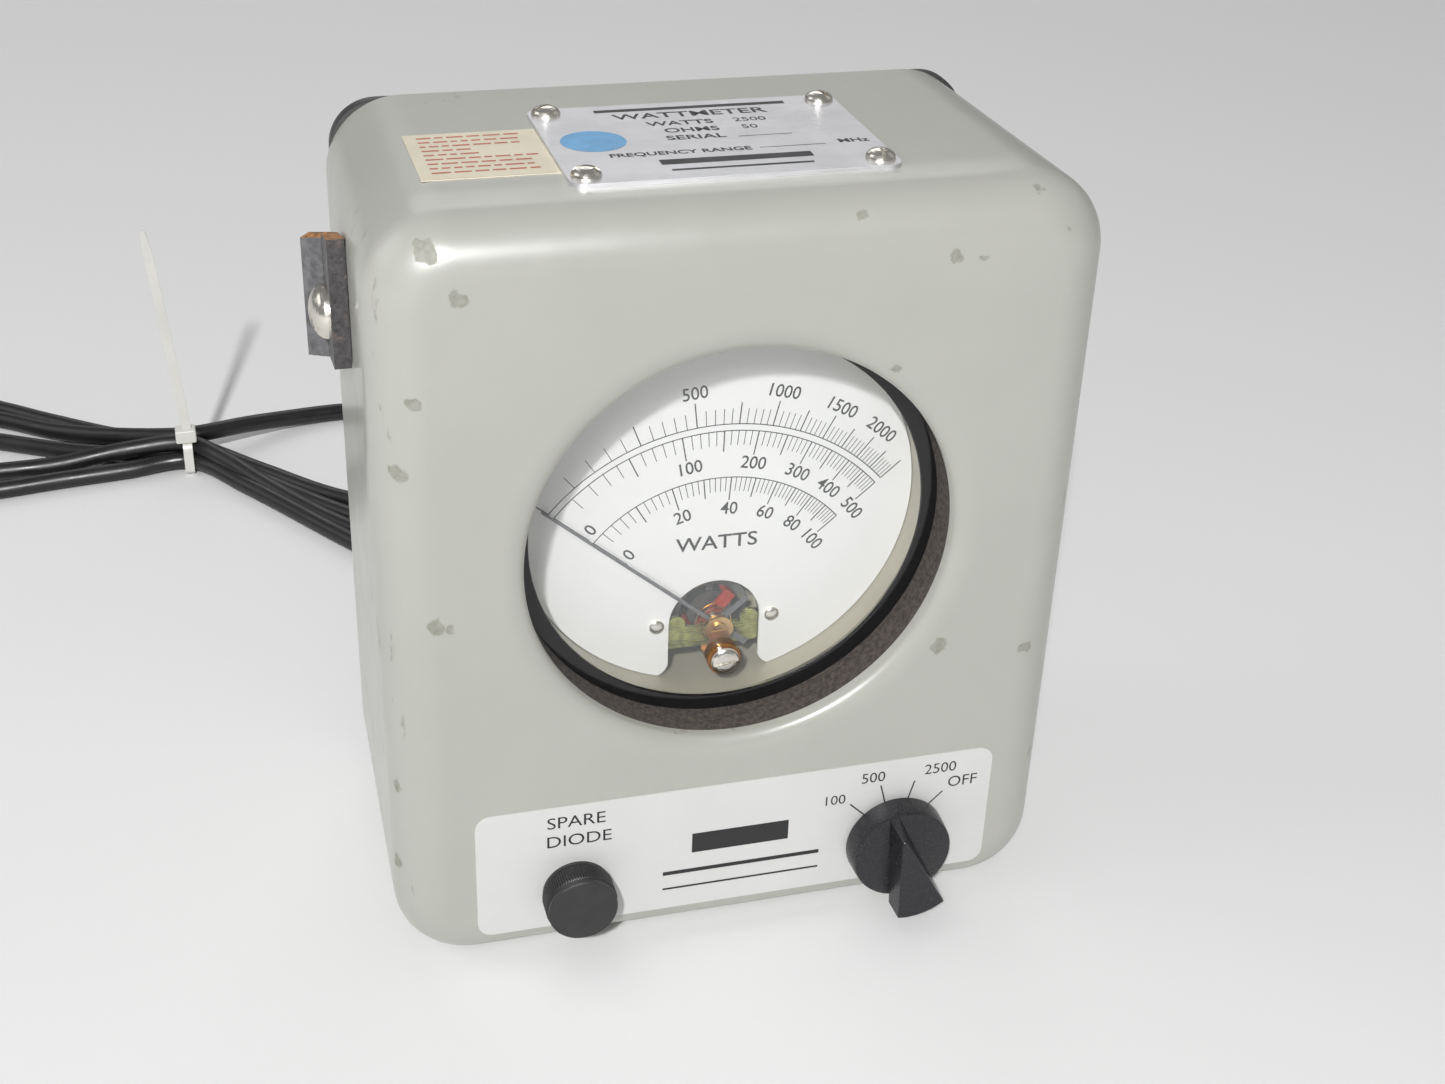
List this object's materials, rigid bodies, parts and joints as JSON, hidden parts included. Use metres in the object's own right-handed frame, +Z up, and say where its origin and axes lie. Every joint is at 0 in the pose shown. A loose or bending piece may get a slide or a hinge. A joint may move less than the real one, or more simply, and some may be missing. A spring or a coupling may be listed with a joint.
{
  "type": "rf wattmeter indicator unit",
  "caption": "Portable RF wattmeter indicator: a steel case with a shock-mounted moving-coil meter, a range selector, a spare diode holder and a DC cable.",
  "frame": {"origin": "centre of the case's flat bottom face", "axes": "+Z up, -Y out of the front face towards the user, +X to the right seen from the front"},
  "size_m": [0.2769, 0.294, 0.1543],
  "materials": {
    "case_paint": "gloss enamel, chipped and scuffed",
    "cover_paint": "satin black",
    "rubber_black": "matte",
    "plated_steel": "zinc plated",
    "nickel": "nickel plate, slightly worn",
    "label_metal": "satin light grey",
    "plate_aluminium": "brushed satin",
    "sticker_paper": "aged paper",
    "webbing": "woven nylon",
    "foam": "coarse sponge",
    "gloss_black": "gloss",
    "window_glass": "clear",
    "can_paint": "beige enamel",
    "brass": "satin",
    "laminate": "phenolic laminate",
    "resistor_body": "lacquered",
    "dial_white": "matte white",
    "dark_steel": "dark",
    "chromate": "yellow-green chromate",
    "coil_red": "red enamelled wire",
    "pointer_grey": "matte grey",
    "amber_resin": "amber brown",
    "knob_black": "satin moulded",
    "matte_black": "moulded",
    "cable_jacket": "satin PVC",
    "tie_nylon": "off-white nylon"
  },
  "bodies": {
    "housing": {"case_front": "case_paint", "case_shell": "case_paint", "meter_studs": "plated_steel", "rear_gasket": "rubber_black", "rear_cover": "cover_paint", "cover_screws": "plated_steel", "label_plate": "label_metal", "nameplate": "plate_aluminium", "nameplate_screws": "nickel", "calibration_sticker": "sticker_paper", "strap_stub_left": "webbing", "strap_stub_right": "webbing", "strap_screws": "nickel", "strap_nuts": "plated_steel", "foam_ring": "foam", "bezel_ring": "gloss_black", "meter_glass": "window_glass", "meter_can": "can_paint", "meter_clamp": "plated_steel", "clamp_nuts": "plated_steel", "meter_terminals": "brass", "range_board": "laminate", "range_resistors": "resistor_body", "dial_plate": "dial_white", "dial_screws": "nickel", "movement_frame": "can_paint", "magnet_yoke": "dark_steel", "core_magnet": "dark_steel", "front_bar": "chromate", "front_bridge": "brass", "front_jewel": "brass", "rear_jewel": "brass", "zero_bushing": "amber_resin", "switch_bushing": "plated_steel", "switch_nut": "nickel", "switch_wafer": "laminate", "diode_holder": "matte_black", "holder_nut": "plated_steel", "cap_spring": "plated_steel", "strain_relief": "rubber_black", "cable_lead": "cable_jacket", "fold_left": "cable_jacket", "fold_right": "cable_jacket", "cable_tail": "cable_jacket", "cable_tie": "tie_nylon", "plug_body": "matte_black", "plug_insert": "nickel"},
    "selector": {"selector_knob": "knob_black", "knob_set_screw": "dark_steel", "switch_shaft": "plated_steel", "switch_rotor": "laminate"},
    "movement": {"pointer": "pointer_grey", "pointer_staff": "plated_steel", "moving_coil": "coil_red", "hairspring": "brass"},
    "zero_adjuster": {"zero_screw": "nickel"},
    "zero_arm": {"zero_lever": "brass"},
    "diode_carrier": {"spare_diode": "brass"},
    "cap": {"diode_cap": "matte_black"},
    "coupling_ring": {"plug_ring": "nickel"}
  },
  "joints": [
    {"name": "selector_turn", "type": "hinge", "parent": "housing", "child": "selector", "pos_m": [0.0332, -0.035, 0.0164], "axis": [0, 1, 0], "range_deg": [-30, 60]},
    {"name": "pointer_swing", "type": "hinge", "parent": "housing", "child": "movement", "pos_m": [0, -0.017, 0.0602], "axis": [0, 1, 0], "range_deg": [0, 100], "stiffness_Nm_per_rad": 0.002},
    {"name": "zero_turn", "type": "hinge", "parent": "housing", "child": "zero_adjuster", "pos_m": [0, -0.025, 0.0562], "axis": [0, 1, 0], "range_deg": [-30, 30]},
    {"name": "zero_lever_turn", "type": "hinge", "parent": "housing", "child": "zero_arm", "pos_m": [0, -0.019, 0.0602], "axis": [0, 1, 0], "range_deg": [-6, 6]},
    {"name": "cap_draw", "type": "slide", "parent": "housing", "child": "diode_carrier", "axis": [0, -1, 0], "range_m": [0, 0.00508]},
    {"name": "cap_turn", "type": "hinge", "parent": "diode_carrier", "child": "cap", "pos_m": [-0.0313, -0.04, 0.0153], "axis": [0, -1, 0], "range_deg": [0, 1440]},
    {"name": "ring_spin", "type": "hinge", "parent": "housing", "child": "coupling_ring", "pos_m": [-0.196, 0.238, 0.0096], "axis": [1, 0, 0], "continuous": true}
  ],
  "couplings": [
    {"joint": "zero_lever_turn", "follows": "zero_turn", "ratio": 0.184},
    {"joint": "cap_turn", "follows": "cap_draw", "rad_per_m": 4947.4}
  ]
}
